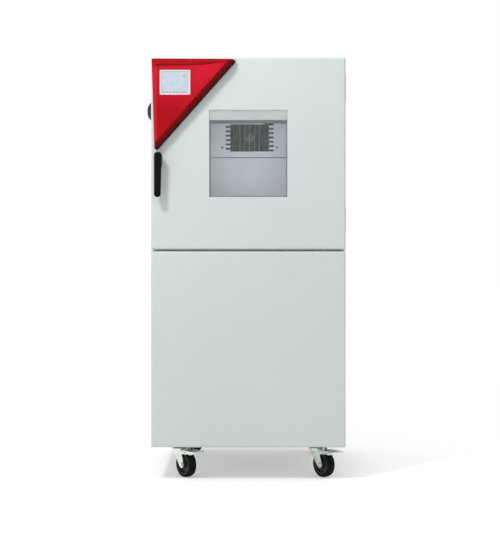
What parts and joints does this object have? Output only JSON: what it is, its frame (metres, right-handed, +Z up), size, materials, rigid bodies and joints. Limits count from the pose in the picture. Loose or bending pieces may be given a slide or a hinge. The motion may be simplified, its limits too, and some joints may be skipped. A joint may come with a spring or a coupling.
{
  "type": "environmental test chamber",
  "caption": "Floor-standing laboratory climate chamber: insulated windowed door over a machine compartment, corner control housing, lever handle, side port, swivel casters.",
  "frame": {"origin": "on the floor, under the middle of the machine's overall width and depth", "axes": "+Z up, the door faces -Y, +X is the viewer's right"},
  "size_m": [0.7703, 0.84, 1.61],
  "materials": {
    "cabinet_paint": "satin",
    "stainless": "satin",
    "zinc": "satin",
    "aluminium": "satin",
    "copper": "satin",
    "black_steel": "satin",
    "foam": "matte",
    "black_plastic": "satin",
    "grey_plastic": "satin",
    "red_plastic": "satin",
    "pale_plastic": "satin",
    "screen": "gloss",
    "lamp": "satin",
    "glass": "gloss",
    "black_rubber": "matte",
    "silicone": "matte",
    "tyre": "matte"
  },
  "bodies": {
    "cabinet": {"base_frame": "zinc", "side_panel_left": "cabinet_paint", "side_panel_right": "cabinet_paint", "top_panel": "cabinet_paint", "rear_panel_upper": "cabinet_paint", "rear_panel_lower": "cabinet_paint", "lower_front_panel": "cabinet_paint", "machine_deck": "zinc", "front_frame": "stainless", "chamber_liner": "stainless", "chamber_insulation": "foam", "air_baffle": "stainless", "rear_wall_sheet": "stainless", "fan_guard": "zinc", "evaporator_coil": "aluminium", "heater_coil": "stainless", "temperature_probe": "stainless", "chamber_fan_motor": "black_steel", "access_port_sleeve": "stainless", "cabinet_hinges": "stainless", "latch_strike": "zinc", "caster_plates": "zinc", "compressor": "black_steel", "condenser_coil": "aluminium", "condenser_shroud": "black_steel", "refrigerant_lines": "copper", "electrical_box": "grey_plastic", "power_inlet": "black_plastic", "drain_nozzle": "black_plastic"},
    "door": {"door_shell": "cabinet_paint", "door_inner_panel": "stainless", "door_insulation": "foam", "window_frame": "stainless", "outer_pane": "glass", "inner_pane": "glass", "window_lamp": "lamp", "window_seal": "black_rubber", "door_gasket": "silicone", "door_hinges": "stainless", "handle_mount": "black_plastic", "control_housing": "red_plastic", "display_bezel": "pale_plastic", "display_screen": "screen"},
    "handle": {"handle_lever": "black_plastic", "latch_hook": "zinc"},
    "chamber_fan": {"chamber_fan": "aluminium"},
    "condenser_fan": {"condenser_fan": "aluminium"},
    "shelf": {"shelf": "stainless"},
    "port_plug": {"port_plug": "black_rubber"},
    "power_rocker": {"power_rocker": "black_plastic"},
    "caster_fl": {"caster_fork_fl": "zinc"},
    "wheel_fl": {"caster_wheel_fl": "tyre"},
    "caster_fr": {"caster_fork_fr": "zinc"},
    "wheel_fr": {"caster_wheel_fr": "tyre"},
    "caster_rl": {"caster_fork_rl": "zinc"},
    "wheel_rl": {"caster_wheel_rl": "tyre"},
    "caster_rr": {"caster_fork_rr": "zinc"},
    "wheel_rr": {"caster_wheel_rr": "tyre"},
    "pedal_fl": {"brake_pedal_fl": "zinc"},
    "pedal_fr": {"brake_pedal_fr": "zinc"}
  },
  "joints": [
    {"name": "door_swing", "type": "hinge", "parent": "cabinet", "child": "door", "pos_m": [0.37, -0.298, 1.2455], "axis": [0, 0, 1], "range_deg": [0, 175]},
    {"name": "handle_pull", "type": "hinge", "parent": "door", "child": "handle", "pos_m": [-0.341, -0.39, 1.224], "axis": [-1, 0, 0], "range_deg": [0, 22], "stiffness_Nm_per_rad": 0.5, "springref_deg": -28.65},
    {"name": "chamber_fan_spin", "type": "hinge", "parent": "cabinet", "child": "chamber_fan", "pos_m": [0, 0.1, 1.324], "axis": [0, 1, 0], "continuous": true},
    {"name": "condenser_fan_spin", "type": "hinge", "parent": "cabinet", "child": "condenser_fan", "pos_m": [0.165, 0.25, 0.338], "axis": [0, 1, 0], "continuous": true},
    {"name": "shelf_slide", "type": "slide", "parent": "cabinet", "child": "shelf", "axis": [0, -1, 0], "range_m": [0, 0.045]},
    {"name": "plug_pull", "type": "slide", "parent": "cabinet", "child": "port_plug", "axis": [-1, 0, 0], "range_m": [0, 0.09]},
    {"name": "rocker_tilt", "type": "hinge", "parent": "cabinet", "child": "power_rocker", "pos_m": [-0.25, 0.401, 0.325], "axis": [1, 0, 0], "range_deg": [0, 16]},
    {"name": "caster_fl_swivel", "type": "hinge", "parent": "cabinet", "child": "caster_fl", "pos_m": [-0.266, -0.245, 0.105], "axis": [0, 0, 1], "continuous": true},
    {"name": "wheel_fl_spin", "type": "hinge", "parent": "caster_fl", "child": "wheel_fl", "pos_m": [-0.24137, -0.27652, 0.05], "axis": [0.788, 0.6157, 0], "continuous": true},
    {"name": "caster_fr_swivel", "type": "hinge", "parent": "cabinet", "child": "caster_fr", "pos_m": [0.266, -0.245, 0.105], "axis": [0, 0, 1], "continuous": true},
    {"name": "wheel_fr_spin", "type": "hinge", "parent": "caster_fr", "child": "wheel_fr", "pos_m": [0.29063, -0.27652, 0.05], "axis": [0.788, 0.6157, 0], "continuous": true},
    {"name": "caster_rl_swivel", "type": "hinge", "parent": "cabinet", "child": "caster_rl", "pos_m": [-0.266, 0.325, 0.105], "axis": [0, 0, 1], "continuous": true},
    {"name": "wheel_rl_spin", "type": "hinge", "parent": "caster_rl", "child": "wheel_rl", "pos_m": [-0.24137, 0.29348, 0.05], "axis": [0.788, 0.6157, 0], "continuous": true},
    {"name": "caster_rr_swivel", "type": "hinge", "parent": "cabinet", "child": "caster_rr", "pos_m": [0.266, 0.325, 0.105], "axis": [0, 0, 1], "continuous": true},
    {"name": "wheel_rr_spin", "type": "hinge", "parent": "caster_rr", "child": "wheel_rr", "pos_m": [0.29063, 0.29348, 0.05], "axis": [0.788, 0.6157, 0], "continuous": true},
    {"name": "pedal_fl_press", "type": "hinge", "parent": "caster_fl", "child": "pedal_fl", "pos_m": [-0.22537, -0.29701, 0.099], "axis": [0.788, 0.6157, 0], "range_deg": [0, 15]},
    {"name": "pedal_fr_press", "type": "hinge", "parent": "caster_fr", "child": "pedal_fr", "pos_m": [0.30663, -0.29701, 0.099], "axis": [0.788, 0.6157, 0], "range_deg": [0, 15]}
  ]
}
